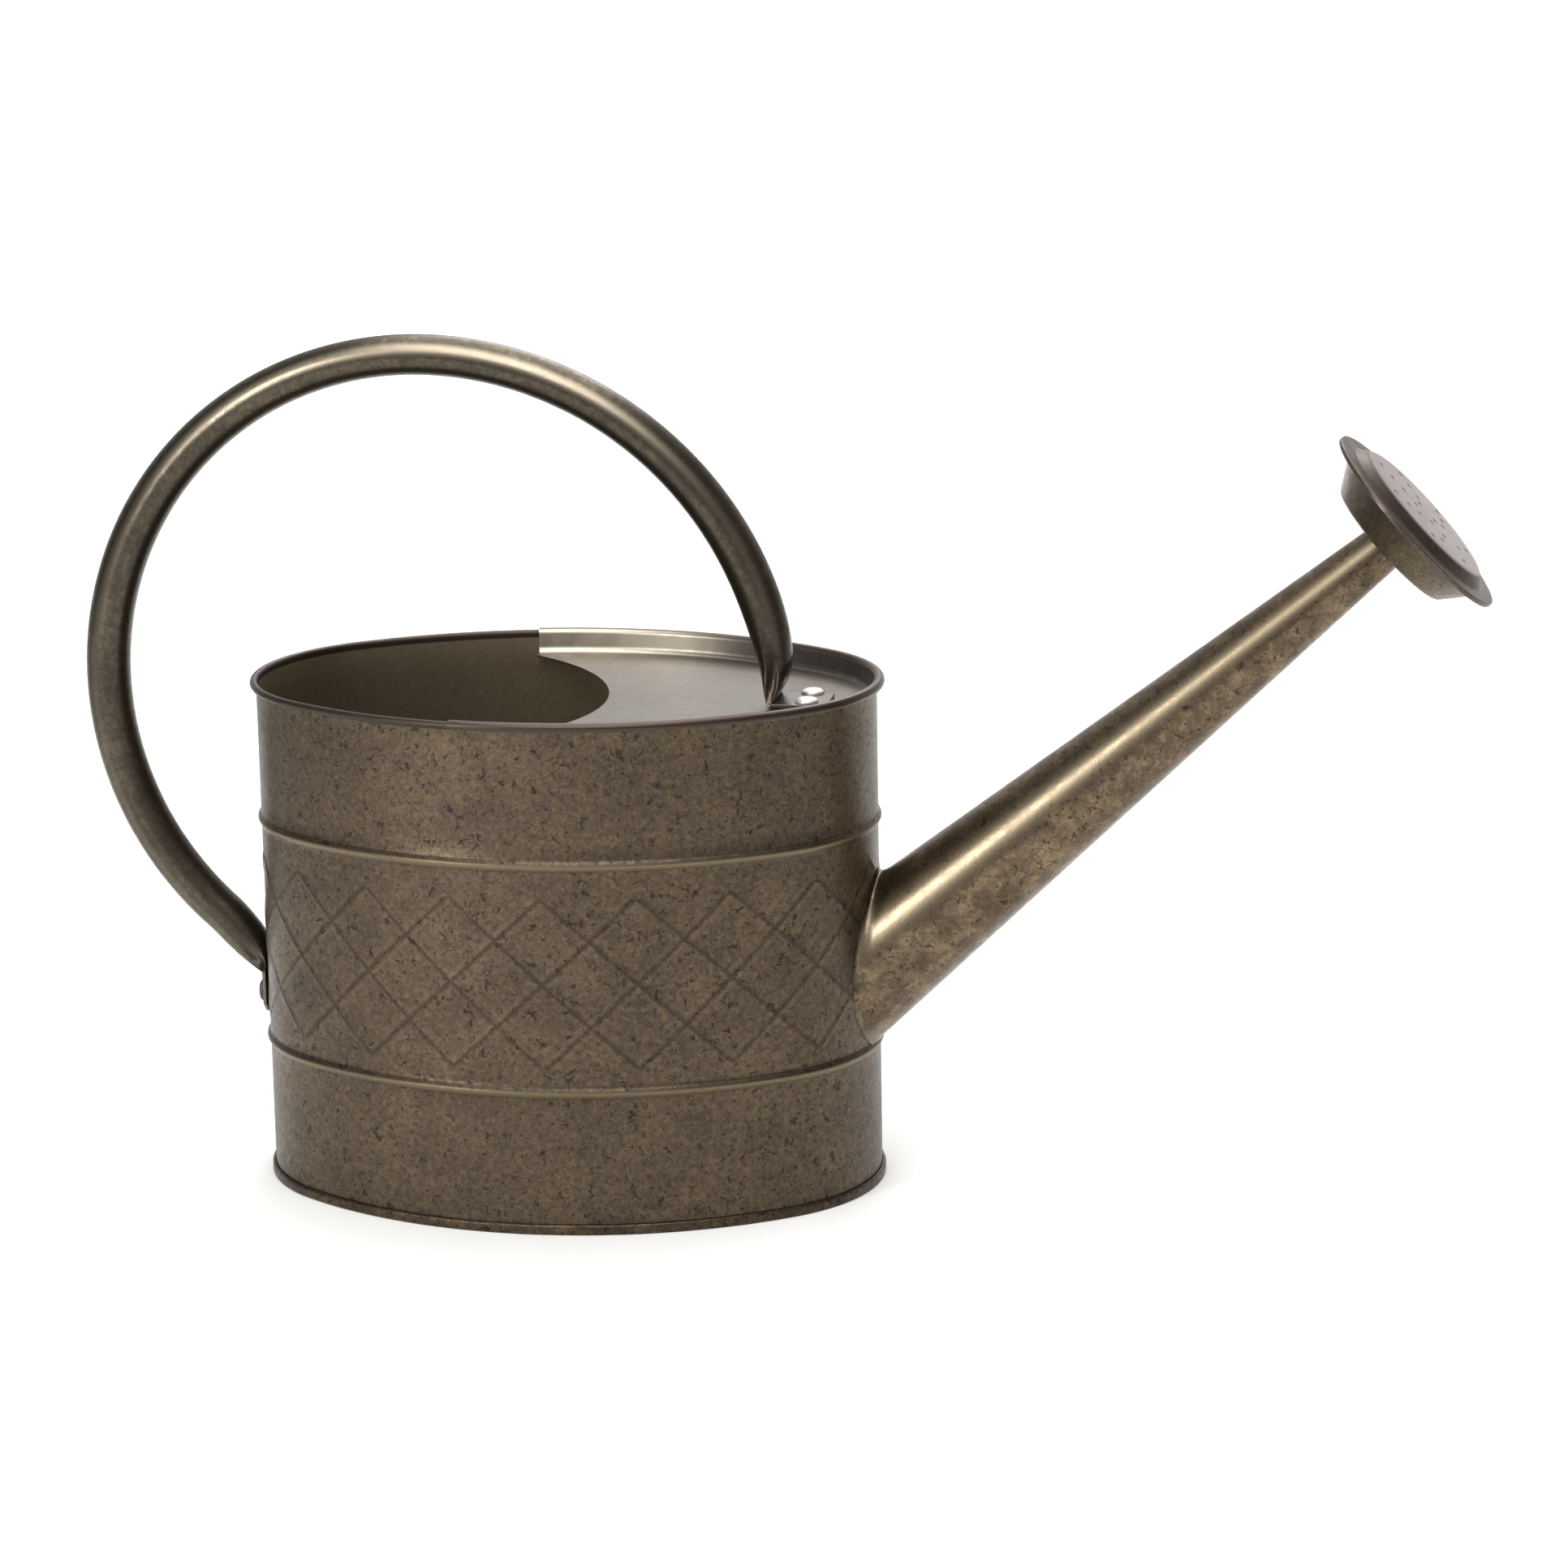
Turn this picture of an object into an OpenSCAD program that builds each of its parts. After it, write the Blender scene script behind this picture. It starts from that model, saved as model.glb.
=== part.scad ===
// Oval sheet-steel watering can with a half cover, a bowed tube handle and a pull-off rose.
// Frame: origin at the centre of the base on the ground, +X towards the spout, +Z up, millimetres.

/* [Body] */
// Length of the oval wall, outside
body_length = 244; // [190:1:320]
// Width of the oval wall, outside
body_width = 168; // [130:1:190]
// Height from the ground to the top of the rolled rim
body_height = 200.5; // [160:0.5:260]
// Thickness of the steel sheet
sheet = 0.6; // [0.4:0.1:1]
// Radius of the bead rolled along the rim
rim_radius = 1.5; // [1.2:0.1:2.2]
// Diameter of the wire inside the rolled rim
rim_wire_d = 1.4; // [1:0.1:1.6]

/* [Ribs and foot] */
// Height of the upper rib's middle
upper_rib_z = 145.5; // [125:0.5:160]
// Height of the lower rib's middle
lower_rib_z = 56.5; // [40:0.5:70]
// Height that each rib takes on the wall
rib_band = 5; // [3:0.5:8]
// How far each rib stands out of the wall
rib_out = 1.3; // [0.6:0.1:2.5]
// Height of the seam folded round the foot
foot_height = 4; // [3:0.5:8]
// Thickness of the folded seam outside the wall
foot_out = 1.4; // [1:0.1:2.5]
// Height of the floor above the ground
floor_z = 6; // [5:0.5:12]

/* [Cover] */
// Depth of the cover plate below the top of the rim
cover_depth = 9; // [6:0.5:14]
// Where the cover ends on both walls, measured from the can's middle
cover_end_x = -27.5; // [-60:0.5:-10]
// Radius of the filling opening cut into the cover
opening_radius = 90; // [60:1:140]
// Where the deepest point of the filling opening lies
opening_x = 15.5; // [0:0.5:40]

/* [Handle] */
// Outside diameter of the handle tube
tube_d = 16.6; // [14:0.1:20]
// Wall of the handle tube
tube_wall = 0.9; // [0.6:0.1:1.5]
// Distance from the can's spout end to the front foot of the handle
front_foot_inset = 39; // [34:0.5:60]
// Height of the full tube's front end above the cover plate
front_foot_rise = 18.5; // [14:0.5:30]
// Distance from the rear wall to the full tube's rear end
rear_foot_out = 19.5; // [16:0.5:30]
// Height of the full tube's rear end above the ground
rear_foot_z = 101; // [90:0.5:120]
// Direction of the handle at its front foot
front_heading = 100; // [92:1:110]
// Direction of the handle at its rear foot
rear_heading = 318; // [305:1:325]
// Width of the two flattened ends
tab_width = 25; // [22:0.5:30]
// Thickness of the two flattened ends
tab_thick = 1.8; // [1.2:0.1:2.4]
// Length of the front tab on the cover plate
front_tab_length = 25; // [22:0.5:32]
// Height of the lower edge of the rear tab
rear_tab_z = 63; // [60:0.5:68]
// Height of the upper edge of the rear tab
rear_tab_top_z = 86; // [80:0.5:90]

/* [Rivets] */
// Diameter of a rivet's head
rivet_head_d = 9; // [7:0.1:10]
// Height of a rivet's head
rivet_head_h = 2; // [1.4:0.1:3]
// Diameter of a rivet's shank
rivet_shank_d = 4; // [3:0.1:5]
// Distance between the two rivets of a pair
rivet_pitch = 15.6; // [12:0.1:17]

/* [Spout] */
// Angle of the spout above the ground
spout_angle = 40.3; // [34:0.1:48]
// Height where the spout's axis meets the wall
spout_z = 91.4; // [86:0.2:98]
// Outside diameter of the spout at the wall
spout_root_d = 50; // [42:0.2:54]
// Outside diameter of the spout at its open end
spout_tip_d = 16.4; // [12:0.2:20]
// Length of the spout's axis from the wall to its open end
spout_length = 266; // [200:1:320]
// Width of the flange turned out around the spout's foot
spout_flange = 2; // [1:0.2:4]

/* [Rose] */
// Diameter of the rose over its rolled edge
rose_d = 84; // [70:0.5:100]
// Diameter of the raised, drilled part of the face
rose_field_d = 61; // [50:0.5:64]
// Height of the raised part above the edge
rose_field_h = 4; // [2:0.1:6]
// Diameter of the dish under the edge
dish_mouth_d = 73; // [68:0.5:74]
// Diameter of the dish where its side meets its back
dish_back_d = 54; // [44:0.5:60]
// Depth of the dish's side
dish_side = 13; // [10:0.5:20]
// Depth of the dish's gently coned back
dish_cone = 2.5; // [1:0.5:5]
// Angle by which the rose looks up from the spout's axis
rose_tilt = 2.4; // [0:0.1:4]
// Diameter of a water hole
hole_d = 2; // [1.2:0.1:3]
// Length of the spout's end held in the rose's collar
collar_grip = 12; // [8:0.5:16]
// Radial play between the spout's end and the collar
collar_play = 0.06; // [0.02:0.01:0.1]

/* [Hidden] */
$fn = 96;
// Play left for solder between two pieces of sheet
solder_gap = 0.05;
// Play of a shank or a wire in its hole
pin_gap = 0.05;
// Overshoot of every cut
cut = 1;
// How far the pressed ends of the handle stand proud of its tube
pinch_swell = 0.3;
// Where each ring of water holes starts; ring 1 has four holes and every next ring one more
hole_starts = [35, 42, 3, 25];
// Steps along one rib's rounded profile
rib_steps = 6;
// Steps round the rim's bead
bead_steps = 10;
// Flats round the wire in the rim
wire_sides = 12;
// Scale of the wedges that part the oval into its four arcs
sector_reach = 100;
// Where the rim's curl and the cover's hem stop, as angles on the bead
curl_end = -115;
hem_end = -30;

// The oval: the centres of its end and side arcs and the can's middle make a 3-4-5 triangle
half_length = body_length / 2;
half_width = body_width / 2;
end_c = (half_length - half_width) * 3 / 2;
side_c = end_c * 4 / 3;
end_radius = half_length - end_c;
side_radius = half_width + side_c;
// The wedges that part the oval; a side wedge starts just past the can's middle line, so that
// a side arc's centre may lie outside the can
end_wedge = sector_reach * [[0, 0], [3, 4], [3, -4]];
side_wedge = concat((side_c - cut) / 4 * [[4, -3], [4, 3]], sector_reach * [[4, 3], [4, -3]]);

// The rim's bead curls outwards and leaves the inside of the wall smooth
rim_x = rim_radius - sheet;
rim_z = body_height - rim_radius;
plate_z = body_height - cover_depth;
skirt = sheet + solder_gap;

// The handle is two arcs that meet at its top, where it lies level
front_foot = [half_length - front_foot_inset, plate_z + front_foot_rise];
rear_foot = [-half_length - rear_foot_out, rear_foot_z];
foot_span = rear_foot - front_foot;
// Travel of each arc for a radius of one
front_step = [-sin(front_heading), cos(front_heading) + 1];
rear_step = [sin(rear_heading), -1 - cos(rear_heading)];
step_det = front_step[0] * rear_step[1] - front_step[1] * rear_step[0];
front_bend = to_hundredth((foot_span[0] * rear_step[1] - foot_span[1] * rear_step[0]) / step_det);
rear_bend = to_hundredth((front_step[0] * foot_span[1] - front_step[1] * foot_span[0]) / step_det);
handle_top = [to_hundredth(front_foot[0] + front_bend * front_step[0]),
              to_hundredth(front_foot[1] + front_bend * front_step[1])];
front_tab_x = front_foot[0] - 3.2;
front_rivet_x = front_tab_x + front_tab_length - 8.4;
rear_rivet_z = rear_tab_z + 8.5;
tab_corner = 4;
// Width of a rivet's closed tail, and how far the rounded wall bends away under a rear one
tail_d = rivet_shank_d * 1.6;
rear_sag = end_radius - sqrt(end_radius ^ 2 - ((rivet_pitch + tail_d) / 2) ^ 2);

// The rose hangs on the last stretch of the spout
spout_slope = (spout_root_d - spout_tip_d) / 2 / spout_length;
collar_foot = spout_length - collar_grip;
rose_edge = sheet * 2;
dish_depth = dish_side + dish_cone;
rose_at = collar_foot + dish_depth + rose_edge;

function to_hundredth(x) = round(100 * x) / 100;

function spout_r(s) = spout_root_d / 2 - spout_slope * s;

// One rib's outline: a raised cosine from the wall's line and back
function rib_line(z, x) = [for (i = [0:rib_steps])
    [x + rib_out * (1 - cos(360 * i / rib_steps)) / 2, z + rib_band * (i / rib_steps - 1 / 2)]];

// The wall's line from the foot to the rim, x being the distance outside the plain wall
function wall_line(x, low, high) =
    concat([[x, low]], rib_line(lower_rib_z, x), rib_line(upper_rib_z, x), [[x, high]]);

function reversed(list) = [for (i = [len(list) - 1:-1:0]) list[i]];

// Points along an arc of the rim's bead, clockwise from its inner side
function bead_line(r, to) = [for (i = [0:bead_steps])
    let(a = 180 - (180 - to) * i / bead_steps) [rim_x + r * cos(a), rim_z + r * sin(a)]];

// One sector of the oval: the whole ring of a profile, kept inside a wedge
module sector(centre, turn, $reach, wedge) {
    translate(centre) rotate([0, 0, turn]) intersection() {
        rotate_extrude() translate([$reach, 0]) children();
        translate([0, 0, -cut]) linear_extrude(2 * body_height) polygon(wedge);
    }
}

// Carries a profile once round the oval; its x is counted outwards from the wall's outside
module around_oval() {
    for (turn = [0, 180]) rotate([0, 0, turn]) {
        sector([end_c, 0, 0], 0, end_radius, end_wedge) children();
        sector([0, -side_c, 0], 90, side_radius, side_wedge) children();
    }
}

// A solid oval, x outside the wall's line and from low to high
module oval_block(x, low, high) {
    around_oval() translate([-$reach, low]) square([$reach + x, high - low]);
}

// The rounded end of the can under the spout, x outside the wall's line
module end_block(x) {
    translate([end_c, 0, 0]) cylinder(r = end_radius + x, h = body_height);
}

// Local Z along the spout's axis, starting where it meets the wall
module along_spout() {
    translate([half_length, 0, spout_z]) rotate([0, 90 - spout_angle, 0]) children();
}

// Local Z out of the rose's face, starting at the level of its edge
module on_rose() {
    along_spout() translate([0, 0, rose_at]) rotate([0, -rose_tilt, 0]) children();
}

// Local Z out of the wall at the rear rivets, and out of the plate at the front ones
module at_front_rivets() {
    for (y = [-rivet_pitch / 2, rivet_pitch / 2]) translate([front_rivet_x, y, plate_z]) children();
}

module at_rear_rivets() {
    for (y = [-rivet_pitch / 2, rivet_pitch / 2])
        translate([-half_length, y, rear_rivet_z]) rotate([0, -90, 0]) children();
}

// A domed head on tab_top, its shank through the sheets and the tail closed underneath
module rivet(tab_top, below) {
    dome_r = (rivet_head_d ^ 2 / 4 + rivet_head_h ^ 2) / (2 * rivet_head_h);
    tail_h = 1.2;
    rotate_extrude() intersection() {
        translate([0, tab_top + rivet_head_h - dome_r]) circle(dome_r);
        translate([0, tab_top]) square([rivet_head_d, rivet_head_h + cut]);
    }
    translate([0, 0, -below - tail_h / 2]) cylinder(d = rivet_shank_d, h = below + tail_h + tab_top);
    translate([0, 0, -below - tail_h]) cylinder(d = tail_d, h = tail_h);
}

// The wall with its ribs, its upper edge curled outwards round the rim wire
module body_shell() color("#4f463c") difference() {
    around_oval() polygon(concat(
        wall_line(-sheet, sheet + solder_gap, rim_z - sheet), bead_line(rim_radius, curl_end),
        reversed(bead_line(rim_radius - sheet, curl_end)),
        reversed(wall_line(0, sheet + solder_gap, rim_z - sheet))));
    along_spout() translate([0, 0, -spout_root_d])
        cylinder(r = spout_r(0) - sheet * 4, h = spout_root_d * 1.5);
    at_rear_rivets() translate([0, 0, -8]) cylinder(d = rivet_shank_d + 2 * pin_gap, h = 16);
}

// The wire that stiffens the rim
module rim_wire() color("#8a8a86") around_oval() translate([rim_x, rim_z])
    circle(d = rim_wire_d, $fn = wire_sides);

// The floor, its skirt inside the wall and the seam folded up outside
module base_pan() color("#463d33") {
    oval_block(-skirt - sheet / 2, floor_z - sheet, floor_z);
    around_oval() polygon([[-skirt - sheet, 0], [foot_out, 0], [foot_out, foot_height],
        [solder_gap, foot_height], [solder_gap, sheet], [-skirt, sheet], [-skirt, floor_z],
        [-skirt - sheet, floor_z]]);
}

// The plate over the spout half, its flange up the wall and its hem over the rim
module cover_plate() color("#a39a92") difference() {
    union() {
        difference() {
            oval_block(-skirt - sheet / 2, plate_z - sheet, plate_z);
            translate([opening_x - opening_radius, 0, plate_z - sheet - cut])
                cylinder(r = opening_radius, h = sheet + 2 * cut);
            at_front_rivets() translate([0, 0, -sheet - cut])
                cylinder(d = rivet_shank_d + 2 * pin_gap, h = sheet + 2 * cut);
        }
        around_oval() polygon(concat(
            [[-skirt, plate_z - sheet], [-skirt - sheet, plate_z - sheet]],
            bead_line(rim_radius + solder_gap + sheet, hem_end),
            reversed(bead_line(rim_radius + solder_gap, hem_end))));
    }
    translate([cover_end_x - body_length, -body_width, plate_z - 2 * cut])
        cube([body_length, 2 * body_width, cover_depth + 4 * cut]);
}

// A quarter turn or more of the handle's tube, starting level at the handle's top
module tube_arc(bend, turn) {
    translate([handle_top[0], 0, handle_top[1] - bend]) rotate([90, 0, 0]) rotate([0, 0, 90])
        rotate_extrude(angle = turn) translate([bend, 0]) difference() {
            circle(d = tube_d);
            circle(d = tube_d - 2 * tube_wall);
        }
}

// The end of the full tube, as a thin disc across its direction that stands a little proud
module tube_end(foot, heading) {
    translate([foot[0], 0, foot[1]]) rotate([0, 90 - heading, 0])
        cylinder(d = tube_d + 2 * pinch_swell, h = tube_wall, center = true, $fn = 32);
}

// A flat tab with two cut corners at its free end; it lies from 0 along +X
module tab(length) {
    w = tab_width / 2;
    linear_extrude(tab_thick) polygon([[0, -w], [length - tab_corner, -w], [length, tab_corner - w],
        [length, w - tab_corner], [length - tab_corner, w], [0, w]]);
}

// The bowed tube with both ends pinched flat and riveted down
module handle() color("#4a4138") difference() {
    union() {
        translate([2 * handle_top[0], 0, 0]) mirror([1, 0, 0])
            tube_arc(front_bend, 180 - front_heading);
        tube_arc(rear_bend, rear_heading - 180);
        hull() {
            tube_end(front_foot, front_heading);
            translate([front_tab_x, -tab_width / 2, plate_z + solder_gap])
                cube([tab_thick, tab_width, 2 * tab_thick]);
        }
        hull() {
            tube_end(rear_foot, rear_heading);
            translate([-half_length - solder_gap - tab_thick, -tab_width / 2, rear_tab_top_z - tab_thick])
                cube([tab_thick, tab_width, tab_thick]);
        }
        translate([front_tab_x, 0, plate_z + solder_gap]) tab(front_tab_length);
        translate([-half_length - solder_gap, 0, rear_tab_top_z]) rotate([0, 90, 180])
            tab(rear_tab_top_z - rear_tab_z);
    }
    at_front_rivets() translate([0, 0, -cut]) cylinder(d = rivet_shank_d + 2 * pin_gap, h = 6);
    at_rear_rivets() translate([0, 0, -cut]) cylinder(d = rivet_shank_d + 2 * pin_gap, h = 6);
}

// Bright rivets through the handle's front tab and the cover
module front_rivets() color("#d8d6d2") at_front_rivets()
    rivet(tab_thick + solder_gap * 2, sheet + solder_gap);

// Duller rivets through the rear tab and the wall
module rear_rivets() color("#6b6258") at_rear_rivets()
    rivet(tab_thick + solder_gap * 2, sheet + rear_sag + solder_gap);

// The long cone, cut to the wall, with its foot turned out as a narrow flange
module spout() color("#6b5f48") difference() {
    foot = spout_root_d * 1.2;
    union() {
        along_spout() translate([0, 0, -foot])
            cylinder(r1 = spout_r(-foot), r2 = spout_tip_d / 2, h = foot + spout_length);
        intersection() {
            end_block(solder_gap + sheet);
            along_spout() translate([0, 0, -foot])
                cylinder(r = spout_root_d / 2 + spout_flange, h = 2 * foot);
        }
    }
    along_spout() translate([0, 0, -foot - cut])
        cylinder(r1 = spout_r(-foot - cut) - sheet, r2 = spout_r(spout_length + cut) - sheet,
                 h = foot + spout_length + 2 * cut);
    end_block(solder_gap);
    translate([end_c, 0]) rotate_extrude() translate([end_radius, 0])
        polygon(concat(rib_line(lower_rib_z, solder_gap), [[-sheet, lower_rib_z]]));
}

// The pan behind the rose's face: coned back, sloping side and an outward lip
module rose_dish() color("#5d5240") difference() {
    on_rose() rotate_extrude() {
        bore = spout_r(collar_foot) + collar_play + sheet / 2;
        lip = rose_d / 2 - sheet - 2 * solder_gap;
        polygon([[bore, -dish_depth - rose_edge], [dish_back_d / 2, -dish_side - rose_edge],
            [dish_mouth_d / 2, -rose_edge], [lip, -rose_edge], [lip, -rose_edge + sheet],
            [dish_mouth_d / 2 - sheet, -rose_edge + sheet],
            [dish_back_d / 2 - sheet, -dish_side - rose_edge + sheet],
            [bore, -dish_depth - rose_edge + sheet]]);
    }
    along_spout() translate([0, 0, collar_foot - 2 * cut])
        cylinder(r = spout_r(collar_foot) + collar_play + sheet + solder_gap, h = collar_grip);
}

// The drilled face: raised field, bevel and an edge folded round the dish's lip
module rose_face() color("#9b918b") on_rose() difference() {
    edge = rose_d / 2;
    field = rose_field_d / 2;
    bevel_foot = dish_mouth_d / 2 - 1;
    under = sheet - solder_gap;
    fold = -rose_edge - solder_gap;
    rotate_extrude() polygon([[0, rose_field_h], [field, rose_field_h], [bevel_foot, 0], [edge, 0],
        [edge, fold - sheet], [edge - 5 * sheet, fold - sheet], [edge - 5 * sheet, fold],
        [edge - sheet, fold], [edge - sheet, -under], [bevel_foot, -under],
        [field - under, rose_field_h - sheet], [0, rose_field_h - sheet]]);
    for (ring = [1:len(hole_starts)], i = [1:ring + 3])
        rotate([0, 0, hole_starts[ring - 1] + 360 / (ring + 3) * i])
            translate([ring * (field - 3 * hole_d) / len(hole_starts), 0, rose_field_h - 2 * sheet])
                cylinder(d = hole_d, h = 3 * sheet);
}

// The coned collar inside the rose, which grips the spout's end
module rose_collar() color("#8a8478") along_spout() translate([0, 0, collar_foot]) rotate_extrude() {
    low = spout_r(collar_foot) + collar_play;
    high = spout_r(spout_length) + collar_play;
    polygon([[low, 0], [low + sheet, 0], [high + sheet, collar_grip], [high, collar_grip]]);
}

body_shell();
rim_wire();
base_pan();
cover_plate();
handle();
front_rivets();
rear_rivets();
spout();
rose_dish();
rose_face();
rose_collar();
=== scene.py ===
# %% [markdown]
# # An oval watering can in aged sheet steel
# The can is made of thin sheet: a wall, a floor folded on at the foot, half a cover, a long
# coned spout with a rose, and a bent tube for a handle. The solid model that is loaded here
# already has every piece at its right size. What it lacks is what a press, a roller and a
# pair of pliers leave behind: embossed lines, soft bends, pinched ends and a mottled finish.
# So the sheet pieces are worked out again as smooth surfaces on the same sizes.

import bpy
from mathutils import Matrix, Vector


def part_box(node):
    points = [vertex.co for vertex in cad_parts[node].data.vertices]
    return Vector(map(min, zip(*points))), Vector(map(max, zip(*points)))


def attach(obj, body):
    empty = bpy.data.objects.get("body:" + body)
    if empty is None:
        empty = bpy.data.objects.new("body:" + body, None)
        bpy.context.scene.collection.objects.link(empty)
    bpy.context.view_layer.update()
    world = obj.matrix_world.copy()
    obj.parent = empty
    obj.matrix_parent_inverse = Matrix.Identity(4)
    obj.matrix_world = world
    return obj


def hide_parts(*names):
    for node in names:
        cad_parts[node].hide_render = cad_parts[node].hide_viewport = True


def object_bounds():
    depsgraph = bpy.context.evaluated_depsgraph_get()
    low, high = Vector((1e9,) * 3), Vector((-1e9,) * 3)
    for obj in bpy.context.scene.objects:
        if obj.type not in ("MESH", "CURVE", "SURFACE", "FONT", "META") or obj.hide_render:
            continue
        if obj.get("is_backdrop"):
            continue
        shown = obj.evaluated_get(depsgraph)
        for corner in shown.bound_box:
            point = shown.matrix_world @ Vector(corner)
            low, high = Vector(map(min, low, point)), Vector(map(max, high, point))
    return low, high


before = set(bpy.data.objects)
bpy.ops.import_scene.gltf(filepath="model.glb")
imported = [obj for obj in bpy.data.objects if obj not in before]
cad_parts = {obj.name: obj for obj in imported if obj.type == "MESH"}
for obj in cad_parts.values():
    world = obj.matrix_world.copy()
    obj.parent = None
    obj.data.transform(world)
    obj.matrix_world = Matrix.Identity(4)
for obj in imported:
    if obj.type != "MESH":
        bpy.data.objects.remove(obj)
cad_box = [list(corner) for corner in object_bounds()]

# %% [markdown]
# ## Units and small helpers
# Sheet metal is drawn in millimetres, and Blender wants metres, so every surface is worked
# out in millimetres and scaled once, when its mesh is made. A surface is a grid of points,
# rows by columns. Four neighbours make a quad, and a direction that closes on itself joins
# its last line to its first. Poles are rows of equal points, which are merged afterwards.

# %% Helpers for grids and meshes
import math

import bmesh
import bpy
import numpy as np
from mathutils import Matrix, Vector

MM = 0.001
MERGE = 1e-6
SHARP = math.radians(40)


def box_mm(node):
    """The lowest and highest corner of a node of the solid model, in millimetres."""
    low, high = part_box(node)
    return np.array(low) / MM, np.array(high) / MM


def grid_quads(rows, columns, ring_rows, ring_columns):
    """Index quads of a grid: each point with its right, upper right and upper neighbour."""
    row = np.arange(rows if ring_rows else rows - 1)[:, None]
    column = np.arange(columns if ring_columns else columns - 1)[None, :]
    up, right = (row + 1) % rows, (column + 1) % columns
    corners = (row * columns + column, row * columns + right,
               up * columns + right, up * columns + column)
    return np.stack(np.broadcast_arrays(*corners), axis=-1).reshape(-1, 4)


def make_piece(name, grids, relief=None):
    """One mesh from several grids of millimetre points, each (points, ring_rows, ring_columns).
    Equal points are merged, and all faces are turned outwards. relief is a value for each
    point, stored with the mesh for the finish to read; each quad is folded along the diagonal
    with the higher relief, so that slanted lines stay straight."""
    mesh = bpy.data.meshes.new(name)
    points, quads, start = [], [], 0
    for grid, ring_rows, ring_columns in grids:
        rows, columns = grid.shape[:2]
        points.append(grid.reshape(-1, 3) * MM)
        quads.append(grid_quads(rows, columns, ring_rows, ring_columns) + start)
        start += rows * columns
    points, quads = np.concatenate(points), np.concatenate(quads)
    if relief is not None:
        height = np.ravel(relief)[quads]
        other = height[:, 1] + height[:, 3] > height[:, 0] + height[:, 2]
        quads[other] = np.roll(quads[other], 1, axis=1)
    mesh.vertices.add(len(points))
    mesh.vertices.foreach_set("co", points.ravel())
    mesh.loops.add(quads.size)
    mesh.loops.foreach_set("vertex_index", quads.ravel())
    mesh.polygons.add(len(quads))
    mesh.polygons.foreach_set("loop_start", np.arange(0, quads.size, 4))
    mesh.update(calc_edges=True)
    if relief is not None:
        stored = mesh.attributes.new("relief", "FLOAT", "POINT")
        stored.data.foreach_set("value", np.ravel(relief))
    tidy = bmesh.new()
    tidy.from_mesh(mesh)
    bmesh.ops.remove_doubles(tidy, verts=tidy.verts, dist=MERGE)
    bmesh.ops.dissolve_degenerate(tidy, edges=tidy.edges, dist=MERGE)
    bmesh.ops.recalc_face_normals(tidy, faces=tidy.faces)
    tidy.to_mesh(mesh)
    tidy.free()
    mesh.shade_smooth()
    mesh.set_sharp_from_angle(angle=SHARP)
    piece = bpy.data.objects.new(name, mesh)
    bpy.context.scene.collection.objects.link(piece)
    print(f"{name}: {len(mesh.polygons)} faces")
    return piece


# %% Helpers for pieces
def finish_piece(piece, body, node, material):
    """Lets a piece ride on its body in a node's stead, with its finish."""
    piece.data.materials.clear()
    piece.data.materials.append(material)
    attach(piece, body)
    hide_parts(node)


def cut_with(piece, cutter):
    """Takes the space of a closed cutter mesh out of a piece and throws the cutter away."""
    cut = piece.modifiers.new("cut", "BOOLEAN")
    cut.operation, cut.solver, cut.object = "DIFFERENCE", "EXACT", cutter
    evaluated = piece.evaluated_get(bpy.context.evaluated_depsgraph_get())
    ready = bpy.data.meshes.new_from_object(evaluated)
    piece.modifiers.clear()
    piece.data = ready
    piece.data.set_sharp_from_angle(angle=SHARP)
    bpy.data.objects.remove(cutter)


# %% Helpers for values along a line
def blend01(x):
    """A smooth step: 0 below 0, 1 above 1, and three x squared minus two x cubed between."""
    x = np.clip(x, 0, 1)
    return x * x * (3 - 2 * x)


def stations(*stops):
    """Evenly spaced values along stops given as value, count, value, count, value and so on."""
    spans = zip(stops[:-2:2], stops[1::2], stops[2::2])
    parts = [np.linspace(a, b, count, endpoint=False) for a, count, b in spans]
    return np.append(np.concatenate(parts), stops[-1])


# %% [markdown]
# ## The oval
# A tinsmith lays out an oval with four arcs: two tight ones at the ends and two wide ones
# along the sides. Where two arcs meet they share a normal, so the direction of the normal is
# a straight-line function of the length walked along the wall. That makes the oval one
# formula: a table of walked lengths and directions, and a centre and a radius for each arc.

# %% The oval wall line
SHEET = 0.6
SEAM_GAP = 0.05
BEAD_R = 1.5
wire_low, wire_high = box_mm("rim_wire")
WIRE_D = wire_high[2] - wire_low[2]
BEAD_X = BEAD_R - SHEET
BEAD_Z = (wire_low[2] + wire_high[2]) / 2
HALF_LENGTH = wire_high[0] - BEAD_X - WIRE_D / 2
HALF_WIDTH = wire_high[1] - BEAD_X - WIRE_D / 2
END_C = (HALF_LENGTH - HALF_WIDTH) * 3 / 2
SIDE_C = END_C * 4 / 3
END_R, SIDE_R = HALF_LENGTH - END_C, HALF_WIDTH + SIDE_C
END_TURN, SIDE_TURN = math.atan(4 / 3), math.atan(3 / 4)
ARC_RADII = np.array([SIDE_R, END_R, SIDE_R, END_R, SIDE_R])
ARC_TURNS = np.array([SIDE_TURN, 2 * END_TURN, 2 * SIDE_TURN, 2 * END_TURN, SIDE_TURN])
ARC_CENTRES = np.array([[0, SIDE_C], [END_C, 0], [0, -SIDE_C], [-END_C, 0], [0, SIDE_C]])
ARC_STARTS = np.concatenate([[0], np.cumsum(ARC_RADII * ARC_TURNS)])
ARC_HEADINGS = np.concatenate([[0], np.cumsum(ARC_TURNS)]) - math.pi / 2
PERIMETER = ARC_STARTS[-1]


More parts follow.
